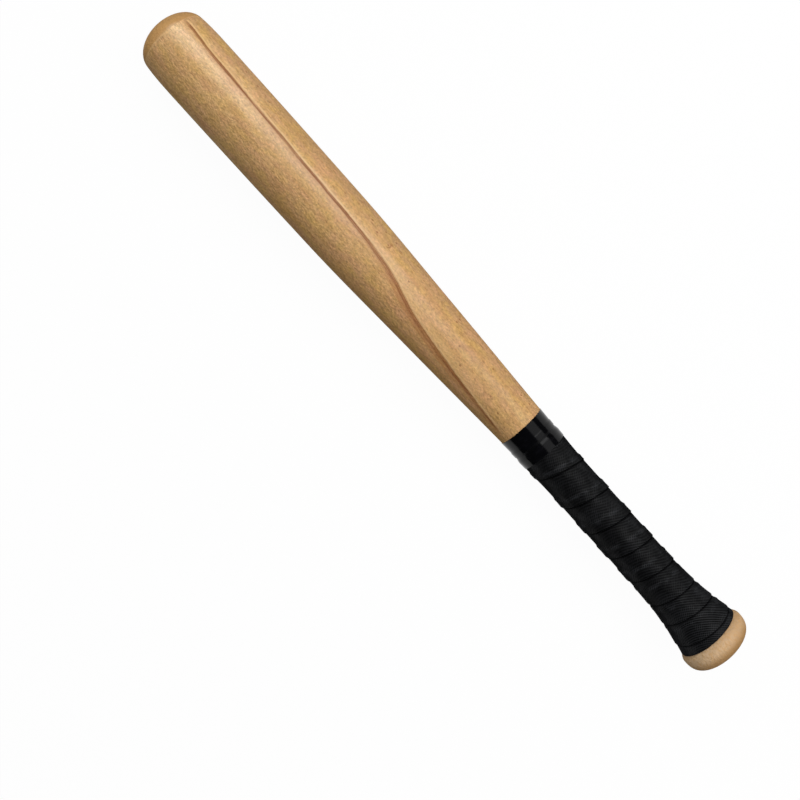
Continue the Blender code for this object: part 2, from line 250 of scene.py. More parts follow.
class StageSettings(bpy.types.PropertyGroup):
    """Camera, light and floor"""

    picture: count("Picture", 800, "Pixels along one side of the photograph")
    focal_pixels: number("Focal length", 1056.0, "In the photograph's pixels")
    height: length("Height", 0.6769, "From the bat's axis up to the camera")
    foot: length("Foot", 0.2792, "Place on the bat right under the camera")
    heading: angle("Heading", -132.094, "Turn of the camera round Z")
    axis_right: number("Axis right", 33.06, "Pixels from the middle right to the lens's axis")
    axis_up: number("Axis up", 71.4, "Pixels from the middle up to the lens's axis")
    floor_size: length("Floor size", 8.0, "Side of the floor")
    panel_angle: angle("Panel angle", 34, "Its middle, from +Z towards -Y")
    panel_distance: length("Panel distance", 1.0, "From the bat's axis to the panel")
    panel_width: length("Panel width", 0.78, "Its width round the bat")
    panel_reach: length("Panel reach", 2.0, "From the camera's foot to its ends")
    panel_split: length("Panel split", 0.38, "Place on the bat where gloss sees it grow dim")
    panel_bright: number("Panel brightness", 2.35, "Its brightness")
    panel_dim: number("Panel dim", 0.42, "Share of that which gloss sees over the handle")
    fill_angle: angle("Fill angle", -15, "Its middle, from +Z towards -Y")
    fill_bright: number("Fill brightness", 0.36, "Its brightness")
    room: number("Room", 0.14, "Its brightness")
    room_dim: number("Room dim", 0.85, "Share of that which gloss doesn't see")
    backdrop: number("Backdrop", 0.08, "Height of the white that gloss sees, as a sine")
    backdrop_fade: number("Backdrop fade", 0.06, "Height over which that white ends")
    floor_lit: number("Floor paint", 0.9, "Grey of the floor that is seen")
    floor_dim: number("Floor dim", 0.36, "Grey of the floor that lights the bat")
    floor_white: number("Floor white", 0.97, "Share of plain white in what is seen of it")


def plain_values(settings):
    """The values of a group of settings, which are quicker to read than the group."""
    return SimpleNamespace(**{name: getattr(settings, name) for name in settings.__annotations__})


# Shader nodes


def math_method(operation, reflected=False):
    """A method that adds one Math node, on its own wire and another or a number."""

    def method(self, other):
        values = (other, self) if reflected else (self, other)
        return self.graph.maths(operation, *values)

    return method


class Wire:
    """One output of a material's nodes, whose sums and products add Math nodes."""

    __add__ = __radd__ = math_method("ADD")
    __sub__ = math_method("SUBTRACT")
    __rsub__ = math_method("SUBTRACT", reflected=True)
    __mul__ = __rmul__ = math_method("MULTIPLY")
    __truediv__ = math_method("DIVIDE")
    __rtruediv__ = math_method("DIVIDE", reflected=True)

    def __init__(self, graph, socket):
        self.graph = graph
        self.socket = socket

    def __abs__(self):
        return self.graph.maths("ABSOLUTE", self)

    def ramp(self, start, end, low=0.0, high=1.0):
        """Low before start, high past end, which may be the smaller, and smooth between."""
        inputs = {"Value": self, "From Min": start, "From Max": end, "To Min": low, "To Max": high}
        settings = {"interpolation_type": "SMOOTHSTEP"}
        return self.graph.node("ShaderNodeMapRange", "Result", inputs, **settings)


class Graph:
    """The nodes of one material or world."""

    def __init__(self, owner):
        self.owner = owner
        owner.use_nodes = True
        self.tree = owner.node_tree

    def feed(self, socket, value):
        """Links a wire to a socket, or sets the socket to a value or a colour."""
        if isinstance(value, Wire):
            self.tree.links.new(value.socket, socket)
        elif socket.type == "RGBA":
            socket.default_value = (*value, 1.0)
        else:
            socket.default_value = value

    def node(self, kind, output=0, inputs=(), **settings):
        """Adds a node, makes its settings and then feeds its inputs, and gives one output."""
        made = self.tree.nodes.new(kind)
        for name, value in settings.items():
            setattr(made, name, value)
        for name, value in dict(inputs).items():
            self.feed(open_socket(made.inputs, name), value)
        return Wire(self, open_socket(made.outputs, output))

    def maths(self, operation, *values):
        return self.node("ShaderNodeMath", 0, enumerate(values), operation=operation)

    def blend(self, factor, first, second):
        inputs = {"Factor": factor, "A": first, "B": second}
        settings = {"data_type": "RGBA", "clamp_factor": True}
        return self.node("ShaderNodeMix", "Result", inputs, **settings)

    def vector(self, x, y, z):
        return self.node("ShaderNodeCombineXYZ", 0, enumerate((x, y, z)))

    def laid_over(self, under, layers):
        """Lays (share, colour) layers over a colour, one after the other."""
        for share, over in layers:
            under = self.blend(share, under, over)
        return under

    def surface(self, inputs, height, strength, distance):
        """Feeds the material's own shader, with a height as its bump, and gives the material."""
        bump = {"Height": height, "Strength": strength, "Distance": distance}
        inputs["Normal"] = self.node("ShaderNodeBump", "Normal", bump)
        for name, value in inputs.items():
            self.feed(self.tree.nodes["Principled BSDF"].inputs[name], value)
        return self.owner

    def parts(self, vector):
        node = self.tree.nodes.new("ShaderNodeSeparateXYZ")
        self.feed(node.inputs[0], vector)
        return [Wire(self, socket) for socket in node.outputs]

    def strip_map(self, name):
        """The two parts of one of a strip's own maps."""
        return self.parts(self.node("ShaderNodeUVMap", "UV", uv_map=name))[:2]

    def noise(self, vector, scale=1.0, detail=2.0):
        inputs = {"Vector": vector, "Scale": scale, "Detail": detail}
        return self.node("ShaderNodeTexNoise", 0, inputs)

    def drawn_noise(self, place, along, across, detail):
        """Noise drawn out along the bat, with so many grains to the metre along and across."""
        factors = {0: place, 1: (along, across, across)}
        drawn = self.node("ShaderNodeVectorMath", 0, factors, operation="MULTIPLY")
        return self.noise(drawn, 1.0, detail)

    def dimmed(self, rgb, share):
        """A colour times a number."""
        inputs = {0: rgb, "Scale": share}
        return self.node("ShaderNodeVectorMath", 0, inputs, operation="SCALE")

    def gloss_share(self, start, end, faced, turned):
        """Share of gloss where a surface faces the eye, and where it has turned away."""
        away = self.node("ShaderNodeLayerWeight", "Facing", {"Blend": 0.5})
        return away.ramp(start, end, faced, turned)

    def cells(self, vector, flat=False):
        """Distance to the nearest of scattered points, and that point's random number."""
        settings = {"voronoi_dimensions": "2D" if flat else "3D"}
        inputs = {"Vector": vector, "Scale": 1.0}
        distance = self.node("ShaderNodeTexVoronoi", "Distance", inputs, **settings)
        chances = Wire(self, distance.socket.node.outputs["Color"])
        return distance, self.parts(chances)[0]

    def rays(self):
        """1 or 0 for whether the camera, a reflection or glass is looking."""
        kinds = ("Is Camera Ray", "Is Glossy Ray", "Is Transmission Ray")
        return [self.node("ShaderNodeLightPath", kind) for kind in kinds]


def open_socket(sockets, name):
    """The socket of that name, or number, that is in use."""
    if isinstance(name, int):
        return sockets[name]
    return next(socket for socket in sockets if socket.name == name and socket.enabled)


def grey(level):
    return (level, level, level)


# Materials


def ring_place(graph, look, x, y, z):
    """Distance from the pith, and the way round it, of a point of the wood."""
    sway = graph.noise(graph.vector(x * 7.0, 0.3, 0.7)) * 0.008
    across = y - look.pith_y + sway
    down = z - look.pith_z + sway * 0.6
    depth = graph.maths("SQRT", across * across + down * down)
    turn = graph.maths("ARCTAN2", across, down)
    return depth, turn * abs(look.pith_z)


def ray_flecks(graph, look, x, around, depth):
    """The rays: thin upright lenses that show as short dashes, flakes or lines."""
    place = graph.vector(x / look.ray_height, around / look.ray_width, depth / look.ray_depth)
    distance, chance = graph.cells(place)
    return distance.ramp(0.42, 0.16) * chance.ramp(0.25, 0.9)


def streak_side(graph, look, x, y, z):
    """How far a point lies from the streak, positive towards -Y, its angle and its radius."""
    radius = graph.maths("SQRT", y * y + z * z)
    turn = graph.maths("ARCTAN2", 0.0 - y, z)
    barrel = (x - look.streak_bend) * look.streak_drift + look.streak_level
    taper = (x - look.streak_bend) * look.streak_turn + look.streak_level
    taper = taper - x.ramp(0.33, 0.285) * look.streak_step
    path = graph.maths("SMOOTH_MIN", barrel, taper, look.streak_round)
    path = path + x.ramp(0.49, 0.535) * look.streak_lift
    sway = graph.noise(graph.vector(x * 45.0, 0.0, 0.0)) - 0.5
    return (turn - path) * radius + sway * 0.0012, turn, radius


def pin_knot(graph, look, x, turn, radius):
    """The dark arc and dot of a pin knot, where a small twig was cut across."""
    along = x - look.knot_place
    across = (turn - look.knot_turn) * radius
    away = graph.maths("SQRT", along * along + across * across) / look.knot_size
    rim = abs(away - 1.0).ramp(0.4, 0.08) * along.ramp(0.0008, -0.0006)
    return graph.maths("MAXIMUM", rim * 0.8, away.ramp(0.5, 0.15))


def streak_marks(graph, look, wood, x, side):
    """Draws the streak: its dark core, a stain on one side, a pale lip and a painted sheen on the
    other.

    Places x are metres from the knob's end, and side is metres from the streak.
    """
    wide = x.ramp(0.385, 0.318) * x.ramp(0.205, 0.262)
    half = wide * (look.streak_wide - look.streak_thin) + look.streak_thin
    lines = graph.noise(graph.vector(x * 34.0, side * 2200.0, 0.0))
    ends = x.ramp(0.53, 0.518) * x.ramp(0.195, 0.215)
    core = (abs(side) / half).ramp(1.3, 0.35) * ends * (1.0 - wide * 0.2)
    core = core * (lines.ramp(0.34, 0.6) * 0.6 + 0.4)
    strand = abs(side + 0.003).ramp(0.001, 0.0003)
    strand = strand * x.ramp(0.236, 0.25) * x.ramp(0.33, 0.31)
    stain = side.ramp(-0.0052, -0.001) * side.ramp(0.0012, -0.0002) * ends
    band = side.ramp(0.0008, 0.003) * side.ramp(0.0105, 0.0045)
    lip = side.ramp(0.0009, 0.0014) * side.ramp(0.0027, 0.0018) * ends
    # Painted sheen: a band of paler colour beyond the lip, along part of the streak
    painted_sheen = band * x.ramp(0.2, 0.26) * x.ramp(0.375, 0.33)
    layers = (
        (painted_sheen * 0.3 + lip * 0.65, look.pale),
        (stain * (wide * 0.15 + 0.4), look.glow),
        (strand * 0.55, look.glow),
        (core * 0.92, look.streak),
    )
    return graph.laid_over(wood, layers), core


def specks_and_knot(graph, look, x, side, turn, radius):
    """The brown specks scattered beyond the streak, and the pin knot."""
    along, across = SPECK_ROOM
    spot, chance = graph.cells(graph.vector(x / along, turn * radius / across, 0.0), True)
    beyond = side.ramp(0.0035, 0.007) * x.ramp(0.52, 0.48)
    specks = spot.ramp(0.09, 0.04) * chance.ramp(0.5, 0.58) * beyond
    return graph.maths("MAXIMUM", specks, pin_knot(graph, look, x, turn, radius))


def figured_wood(graph, look, figure, x, turn, depth):
    """The wood's colour: its rings, patches and fibres, and painted shade on the flank towards -Y.
    """
    ring = graph.maths("FRACT", depth / look.ring_width + figure.tone * 1.2)
    late = ring.ramp(0.45, 0.95) * ring.ramp(1.0, 0.95)
    # Painted shade: the flank towards -Y is laid over with a darker, duller colour
    shaded_flank = turn.ramp(0.45, 1.0) * turn.ramp(3.0, 2.0)
    layers = (
        (figure.tone.ramp(0.35, 0.65), look.honey),
        (figure.patch.ramp(0.46, 0.72) * 0.65, look.tan),
        (x.ramp(0.465, 0.405) * 0.6, look.tan),
        (x.ramp(0.33, 0.27) * 0.3, look.tan),
        (shaded_flank * 0.9, look.painted_flank_shade),
        (figure.blush.ramp(0.5, 0.66) * 0.35, look.amber),
        (figure.blush.ramp(0.46, 0.32) * 0.35, look.rose),
        (figure.dapple.ramp(0.5, 0.7) * 0.3, look.amber),
        (figure.dapple.ramp(0.5, 0.3) * 0.3, look.rose),
        (figure.grain.ramp(0.46, 0.7) * 0.24, look.ring),
        (late * 0.2, look.ring),
        (figure.fibre.ramp(0.44, 0.72) * 0.24, look.ring),
    )
    wood = graph.laid_over(look.pale, layers)
    return graph.dimmed(wood, figure.mottle * 0.9 + figure.speckle * 0.5 + 0.3)


def turned_ends(graph, look, figure, wood, x, turn, outline):
    """Knob wood with painted light and shade, its pores, end grain, the cap's painted shade and
    pale line.
    """
    knob = x.ramp(outline.neck + 0.001, outline.neck)
    knob_end = x.ramp(0.0122, 0.005)
    tip = x.ramp(outline.edge - 0.0004, outline.edge + 0.0004)
    pores = (figure.mottle + figure.speckle * 0.5).ramp(0.72, 0.88) * knob
    crease = abs(x - outline.edge).ramp(0.0009, 0.0003) * turn.ramp(0.35, -0.3)
    # Painted light and shade: the knob's wood is paler towards +Y and darker towards -Y
    plain = graph.blend(turn.ramp(-0.9, 0.7), look.knob_painted_light, look.knob)
    # Painted shade: the tip's cap is darkened on its side towards -Y
    shaded_side = turn.ramp(-0.2, 0.9)
    wood = graph.blend(knob * 0.8, wood, plain)
    layers = ((tip * 0.85 + knob_end * 0.75, look.end_grain), (pores * 0.5, look.tan))
    wood = graph.laid_over(wood, layers)
    wood = graph.dimmed(wood, 1.0 - knob_end * 0.32 - tip * shaded_side * 0.18)
    return graph.blend(crease * 0.5, wood, look.pale), knob


def beech(look, outline):
    """Varnished beech, cut from one solid pattern of rings and rays."""
    graph = Graph(bpy.data.materials.new("varnished_beech"))
    place = graph.node("ShaderNodeTexCoord", "Object")
    x, y, z = graph.parts(place)
    drawn = {name: graph.drawn_noise(place, *grains) for name, grains in WOOD_FIGURE.items()}
    figure = SimpleNamespace(**drawn)
    depth, around = ring_place(graph, look, x, y, z)
    flecks = ray_flecks(graph, look, x, around, depth)
    side, turn, radius = streak_side(graph, look, x, y, z)
    specks = specks_and_knot(graph, look, x, side, turn, radius)

    wood = figured_wood(graph, look, figure, x, turn, depth)
    wood = graph.blend(flecks * 0.55, wood, look.ray)
    wood, core = streak_marks(graph, look, wood, x, side)
    wood = graph.blend(specks * 0.6, wood, look.streak)
    wood, knob = turned_ends(graph, look, figure, wood, x, turn, outline)

    coat = graph.gloss_share(0.12, 0.36, 1.0, 0.05) * (1.0 - core * 0.8) * (1.0 - knob * 0.7)
    inputs = {
        "Base Color": wood,
        "Roughness": 0.45 + figure.tone * 0.08 + flecks * 0.06,
        "Specular IOR Level": 0.0,
        "Coat Weight": coat * x.ramp(0.3, 0.42, 0.67, 1.0),
        "Coat Roughness": 0.29,
        "Coat IOR": 1.6,
    }
    height = figure.ripple * 22.0 + flecks * -0.5 + figure.fibre * 0.5
    return graph.surface(inputs, height + core * -0.6 + specks * -0.6, 0.45, 0.00006)


def net_tape(sizes):
    """Soft black tape with a fine diamond net on its face, on the strip's own map."""
    graph = Graph(bpy.data.materials.new("black_net_tape"))
    across, along = graph.strip_map("strip")
    to_next, to_hidden = graph.strip_map("edges")
    first = graph.maths("PINGPONG", (across - along) / sizes.net, 0.5) * 2.0
    second = graph.maths("PINGPONG", (across + along) / sizes.net, 0.5) * 2.0
    place = graph.node("ShaderNodeTexCoord", "Object")
    x = graph.parts(place)[0]
    wear = graph.noise(place, 90.0, 3.0)
    patches = graph.noise(place, 160.0)
    fuzz = graph.noise(place, 2600.0)
    crossed = second.ramp(0.5, 0.85) * patches.ramp(0.4, 0.62) * 0.7
    threads = graph.maths("MAXIMUM", first.ramp(0.45, 0.85), crossed)
    shade = abs(to_next + 0.0002).ramp(0.0013, 0.0003) * 0.8
    shade = graph.maths("MAXIMUM", shade, across.ramp(0.0004, 0.0001))
    # Partly wear and partly a painted highlight: the ridge over each hidden edge is painted paler
    ridge = abs(to_hidden).ramp(0.0019, 0.0003) * patches.ramp(0.34, 0.6)
    # Paler threads: random dust, plus painted light on the flare towards the knob
    dust_and_painted_light = (wear + x.ramp(0.065, 0.025) * 0.3).ramp(0.42, 0.7) * threads

    dark, pale, paler_black = (tuple(part * times for part in sizes.black) for times in (0.08, 2.5, 3.6))
    layers = (
        (threads, sizes.black),
        (dust_and_painted_light * 0.75, pale),
        (ridge * (threads * 0.85 + 0.05), paler_black),
        (shade * 0.85, dark),
    )
    coat = graph.gloss_share(0.15, 0.6, 0.72, 0.12) * (threads * 0.9 + 0.1) * (1.0 - shade)
    inputs = {
        "Base Color": graph.laid_over(dark, layers),
        "Roughness": 0.75 + fuzz * 0.15,
        "Specular IOR Level": 0.0,
        "Coat Weight": coat,
        "Coat Roughness": 0.5,
    }
    return graph.surface(inputs, threads * 0.7 + fuzz * 0.4 - shade, 0.8, 0.00026)


def gloss_tape(sizes):
    """Stretched black vinyl tape with faint pull marks along it."""
    graph = Graph(bpy.data.materials.new("glossy_black_tape"))
    across, along = graph.strip_map("strip")
    pull = graph.noise(graph.vector(across * 900.0, along * 40.0, 0.0))
    swell = graph.noise(graph.vector(across * 160.0, along * 90.0, 0.3), 1.0, 1.0)
    haze = graph.noise(graph.vector(across * 300.0, along * 200.0, 0.7), 1.0, 3.0)
    seam = abs(graph.strip_map("edges")[0] + 0.0004).ramp(0.0012, 0.0004)
    paler_black = tuple(part * 2.2 for part in sizes.black)
    inputs = {
        "Base Color": graph.blend(haze.ramp(0.5, 0.8), sizes.black, paler_black),
        "Roughness": 0.13 + haze.ramp(0.4, 0.8) * 0.08 + seam * 0.2,
        "Specular IOR Level": 0.2,
    }
    return graph.surface(inputs, swell + pull * 0.12, 0.5, 0.00012)


# Shapes


def eased(share):
    """0 to 1 with level ends, as share goes from 0 to 1."""
    held = min(max(share, 0.0), 1.0)
    return held * held * (3 - 2 * held)


def evenly(start, end, steps):
    """Places from after start up to end, in equal steps."""
    return [start + (end - start) * (i + 1) / steps for i in range(steps)]


def hermite(x, start, end):
    """Height at x on the cubic between two (place, height, slope) ends."""
    x0, y0, slope0 = start
    x1, y1, slope1 = end
    span = x1 - x0
    u = (x - x0) / span
    rise = u * u * (3 - 2 * u)
    return y0 * (1 - rise) + y1 * rise + span * u * (1 - u) * ((1 - u) * slope0 - u * slope1)


def shared_slope(before, here, after):
    """Slope at a place of a smooth outline that never overshoots its neighbours."""
    first = (here[1] - before[1]) / (here[0] - before[0])
    second = (after[1] - here[1]) / (after[0] - here[0])
    if first * second <= 0:
        return 0.0
    return 2 * first * second / (first + second)


def smooth_bends(places, last_slope):
    """(place, height, slope) at each bend of a smooth line that starts level."""
    slopes = [shared_slope(*three) for three in zip(places, places[1:], places[2:])]
    return [(*place, slope) for place, slope in zip(places, [0.0, *slopes, last_slope])]


def height_at(bends, x):
    """Height of such a line at x, level before its first bend and straight past its last."""
    if x <= bends[0][0]:
        return bends[0][1]
    for start, end in zip(bends, bends[1:]):
        if x <= end[0]:
            return hermite(x, start, end)
    place, height, slope = bends[-1]
    return height + slope * (x - place)


class BodyOutline:
    """The turned outline, from the knob's widest place to the tip's edge by formula."""

    def __init__(self, sizes):
        self.sizes = plain_values(sizes)
        self.knob_radius = sizes.knob / 2
        self.neck_radius = sizes.neck / 2
        self.handle_radius = sizes.handle / 2
        self.barrel_radius = sizes.barrel / 2
        self.edge_radius = sizes.tip_edge / 2
        self.knob_widest = sizes.knob_dome
        self.neck = sizes.knob_dome + sizes.knob_heel
        self.flare_end = self.neck + sizes.flare
        self.slim_end = sizes.handle_slim_end
        self.widest = sizes.total - sizes.barrel_widest
        self.edge = sizes.total - sizes.tip_dome
        self.taper = self.taper_bends()

    def taper_bends(self):
        """(place, radius, slope) from the slim handle to the widest of the barrel."""
        sizes = self.sizes
        back = sizes.total - sizes.barrel_back_place
        places = [
            (self.slim_end, self.handle_radius),
            (sizes.handle_top_place, sizes.handle_top / 2),
            ((sizes.handle_top_place + back) / 2, sizes.taper_middle / 2),
            (back, sizes.barrel_back / 2),
            (self.widest, self.barrel_radius),
        ]
        return smooth_bends(places, 0.0)

    def radius(self, x):
        if x <= self.neck:
            passed = (x - self.knob_widest) / (self.neck - self.knob_widest)
            fall = self.knob_radius - self.neck_radius
            return self.knob_radius - fall * passed**self.sizes.heel_power
        if x <= self.flare_end:
            left = (self.flare_end - x) / self.sizes.flare
            rise = self.neck_radius - self.handle_radius
            return self.handle_radius + rise * left**self.sizes.flare_power
        if x <= self.slim_end:
            return self.handle_radius
        if x <= self.widest:
            return height_at(self.taper, x)
        share = (x - self.widest) / (self.edge - self.widest)
        fall = self.barrel_radius - self.edge_radius
        return self.barrel_radius - fall * share**self.sizes.shoulder_power

    def knob_dome(self, rings):
        """(place, radius) round the knob's end, closer together where it bends most."""
        power = self.sizes.dome_power
        flat_share = (self.sizes.knob_flat / self.sizes.knob) ** power
        full_depth = self.knob_widest / (1 - flat_share) ** (1 / power)
        first = math.asin(flat_share**0.5)
        places = []
        for turn in [first, *evenly(first, math.pi / 2, rings)]:
            depth = full_depth * max(math.cos(turn), 0.0) ** (2 / power)
            radius = self.knob_radius * math.sin(turn) ** (2 / power)
            places.append((self.knob_widest - depth, radius))
        return places

    def tip_dome(self, rings):
        """(place, radius) of the cap on the tip, a slice of a flattened half-ball."""
        depth = self.sizes.tip_ball
        centre = self.sizes.total - depth
        edge_turn = math.acos((self.edge - centre) / depth)
        ball = self.edge_radius / math.sin(edge_turn)
        turns = evenly(edge_turn, 0.0, rings)
        return [(centre + depth * math.cos(turn), ball * math.sin(turn)) for turn in turns]

    def points(self):
        """(place, radius) along the whole body, from the flat's centre to the tip's apex."""
        stretches = [
            (self.knob_widest, self.neck, 12),
            (self.neck, self.flare_end, 26),
            (self.flare_end, self.slim_end, 12),
            (self.slim_end, self.widest, 64),
            (self.widest, self.edge, 22),
        ]
        places = [(0.0, 0.0), *self.knob_dome(rings=26)]
        for start, end, rings in stretches:
            places += [(x, self.radius(x)) for x in evenly(start, end, rings)]
        return places + self.tip_dome(rings=24)


class GripWinding:
    """Where the grip tape lies: its two edges at each turn, and its two faces."""

    def __init__(self, sizes, outline):
        self.sizes = plain_values(sizes)
        self.outline = outline
        self.start = sizes.start
        self.end = sizes.end
        self.first_turn = sizes.first_turn
        self.bends = self.edge_bends()
        self.last_turn = self.turn_where(sizes.end - sizes.tail)

    def edge_bends(self):
        """(turn, distance from the neck, slope) of the knob-side edge.

        It is square round the neck for one turn, then beside the collar that this leaves,
        and then it comes past the top of the bat once for each lap.
        """
        collar, laps = self.sizes.collar, self.sizes.laps
        top = (self.start - math.pi / 2) / math.tau
        places = [(self.first_turn + 1, 0.0), (0.0, collar), (self.sizes.collar_end, collar)]
        places += [(top + i, lap) for i, lap in enumerate(laps)]
        return smooth_bends(places, laps[-1] - laps[-2])

    def near(self, turn):
        """Place of the knob-side edge."""
        return self.outline.neck + height_at(self.bends, turn)

    def far(self, turn):
        """Place of the barrel-side edge: cut on the slant at the start, square at the end.

        The slant stays short of the turn after the next, so the tape is never three deep.
        """
        sizes = self.sizes
        slant = self.near(turn + 2 - sizes.lead) - 2 * sizes.edge_gap - sizes.slant_room
        return min(self.near(turn) + sizes.width, slant, self.end)

    def turn_where(self, place):
        """The turn at which the knob-side edge comes to a place, found by halving 40 turns."""
        low, high = 0.0, 40.0
        for _ in range(40):
            middle = (low + high) / 2
            if self.near(middle) < place:
                low = middle
            else:
                high = middle
        return low

    def lapped(self, turn, x):
        """How much of a whole step a turn stands on the one before, and where that ends."""
        lead = self.sizes.lead
        climbed = eased((turn - self.first_turn - 1 + lead) / (lead * CLIMB_SHARE))
        below_ends = self.far(max(turn - 1, self.first_turn))
        near = self.near(turn)
        passed = min(max(x - near, 0.0) / max(below_ends - near, 1e-6), 1.0)
        left = 1 - eased((x - below_ends) / self.sizes.lap_ramp)
        return climbed * (1 - self.sizes.lap_sink * passed) * left, below_ends

    def faces(self, turn, x):
        """Inner and outer radius of the strip at a place of a turn."""
        sizes = self.sizes
        lapped, below_ends = self.lapped(turn, x)
        crease = math.exp(-(((x - below_ends) / CREST_WIDTH) ** 2))
        crease *= below_ends < self.end - CREST_END
        # Each of these has so many waves to a turn and to a metre of the bat
        crumple = noise.noise(Vector((turn * 26.0, x * 190.0, 0.0)))
        ripple = noise.noise(Vector((turn * 55.0 + x * 160.0, x * 420.0, 3.0)))
        swell = noise.noise(Vector((turn * 9.0, x * 60.0, 8.0)))
        high = sizes.crest * crease * (1 + 0.9 * crumple) * min(lapped * 4, 1)
        high += RIPPLE * ripple * (0.4 + lapped) + SWELL * swell
        on_wood = self.outline.radius(x) + sizes.seat
        on_turn = on_wood + sizes.thickness + TAPE_GAP
        inner = on_wood + (on_turn - on_wood) * eased(lapped * 2.2)
        outer = on_wood + sizes.thickness + sizes.lap_rise * lapped + high
        edge = min(x - self.near(turn), self.far(turn) - x)
        if edge < EDGE_ROUND:
            outer -= EDGE_ROUND * (1 - math.sqrt(1 - (1 - max(edge, 0) / EDGE_ROUND) ** 2))
        return min(inner, outer - THINNEST), outer

    def edges(self, turn, x):
        """Distances past the free edge of the turn after, and past the hidden edge below."""
        return x - self.near(turn + 1), x - self.far(max(turn - 1, self.first_turn))


class FinishWinding:
    """Where the finishing tape lies, over the grip tape's end and its own first turn."""

    def __init__(self, sizes, outline, grip):
        self.sizes = plain_values(sizes)
        self.outline = outline
        self.grip = grip
        self.start = sizes.start
        self.shift = sizes.width - sizes.lap
        self.start_place = grip.end - sizes.cover
        self.first_turn = 0.0
        self.last_turn = sizes.turns

    def near(self, turn):
        """Place of the knob-side edge, square for most of each turn."""
        shift_from, shift_to = self.sizes.shift_from, self.sizes.shift_to
        share = (turn - shift_from) / (shift_to - shift_from)
        return self.start_place + self.shift * eased(share)

    def far(self, turn):
        return self.near(turn) + self.sizes.width

    def grip_top(self, turn, x):
        """Outer radius of what the tape finds below it: the grip tape's last turns or wood."""
        passed = (self.grip.start - self.start) / math.tau + turn
        highest = self.outline.radius(x)
        grip_turn = passed % 1.0
        while grip_turn <= self.grip.last_turn:
            if self.grip.near(grip_turn) <= x <= self.grip.far(grip_turn):
                highest = max(highest, self.grip.faces(grip_turn, x)[1])
            grip_turn += 1
        return highest

    def bridged(self, turn, x):
        """The top below as the stretched tape bridges it, in bends no tighter than its drape."""
        circumference = math.tau * self.outline.radius(x)
        highest = 0.0
        for i in range(-5, 6):
            for j in (-4, -2, 0, 2, 4):
                away = math.hypot(i, j) * FEEL_STEP
                top = self.grip_top(turn + j * FEEL_STEP / circumference, x + i * FEEL_STEP)
                highest = max(highest, top - away * away / (2 * self.sizes.drape))
        return highest

    def faces(self, turn, x):
        """Inner and outer radius of the strip at a place of a turn."""
        top = self.bridged(turn, x) + TAPE_GAP
        if turn >= 1:
            below = 1 - eased((x - self.far(turn - 1)) / STEP_RAMP)
            top += below * (self.sizes.thickness + TURN_GAP)
        return top, top + self.sizes.thickness

    def edges(self, turn, x):
        """Distances past the free edge of its second turn, and past the grip tape's end."""
        return x - self.start_place - self.shift, x - self.grip.end


def around(winding, turn, x, radius):
    """The point at a radius after so many turns, left-handed about X."""
    way = winding.start - math.tau * turn
    return Vector((x, radius * math.cos(way), radius * math.sin(way)))


def travelled(winding, steps):
    """Length along the strip at each of its steps, from its first turn."""
    lengths = [0.0]
    span = (winding.last_turn - winding.first_turn) / steps
    for i in range(steps):
        turn = winding.first_turn + span * (i + 0.5)
        middle = (winding.near(turn) + winding.far(turn)) / 2
        round_it = math.tau * span * winding.faces(turn, middle)[1]
        lengths.append(lengths[-1] + round_it)
    return lengths


def wound_strip(name, winding):
    """Cuts a flat strip with two faces and winds each of its points into place.

    Its cells are narrower towards its edges, where its rounding and its laps are.
    """
    sizes = winding.sizes
    turns = winding.last_turn - winding.first_turn
    steps = round(turns * sizes.around)
    strip = bmesh.new()
    bmesh.ops.create_grid(strip, x_segments=sizes.across, y_segments=steps, size=0.5)
    bmesh.ops.solidify(strip, geom=strip.faces[:], thickness=1.0)
    lengths = travelled(winding, steps)
    strip_map = strip.loops.layers.uv.new("strip")
    edge_map = strip.loops.layers.uv.new("edges")
    flat_places = {}
    faces = cache(winding.faces)
    for vert in strip.verts:
        step = round((vert.co.y + 0.5) * steps)
        turn = winding.first_turn + turns * step / steps
        share = round((vert.co.x + 0.5) * sizes.across) / sizes.across
        share -= CROWDING * math.sin(math.tau * share) / math.tau
        near, far = winding.near(turn), winding.far(turn)
        x = near + (far - near) * share
        inner, outer = faces(turn, x)
        flat_places[vert] = ((x - near, lengths[step]), winding.edges(turn, x))
        vert.co = around(winding, turn, x, inner if abs(vert.co.z) > 0.5 else outer)
    for face in strip.faces:
        for loop in face.loops:
            loop[strip_map].uv, loop[edge_map].uv = flat_places[loop.vert]
    bmesh.ops.recalc_face_normals(strip, faces=strip.faces)
    return finished(name, strip, math.radians(50)), lengths[-1]


def placed(name, data):
    """An object that holds some data, put into the scene."""
    made = bpy.data.objects.new(name, data)
    bpy.context.scene.collection.objects.link(made)
    return made


def finished(name, mesh_data, sharp_angle):
    """An object made from a bmesh, shaded smooth but for its sharp edges."""
    mesh = bpy.data.meshes.new(name)
    mesh_data.to_mesh(mesh)
    mesh_data.free()
    mesh.shade_smooth()
    mesh.set_sharp_from_angle(angle=sharp_angle)
    return placed(name, mesh)


def dressed(piece, material, node):
    """Gives a piece its material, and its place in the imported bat."""
    piece.data.materials.append(material)
    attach(piece, "root")
    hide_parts(node)


# Operators


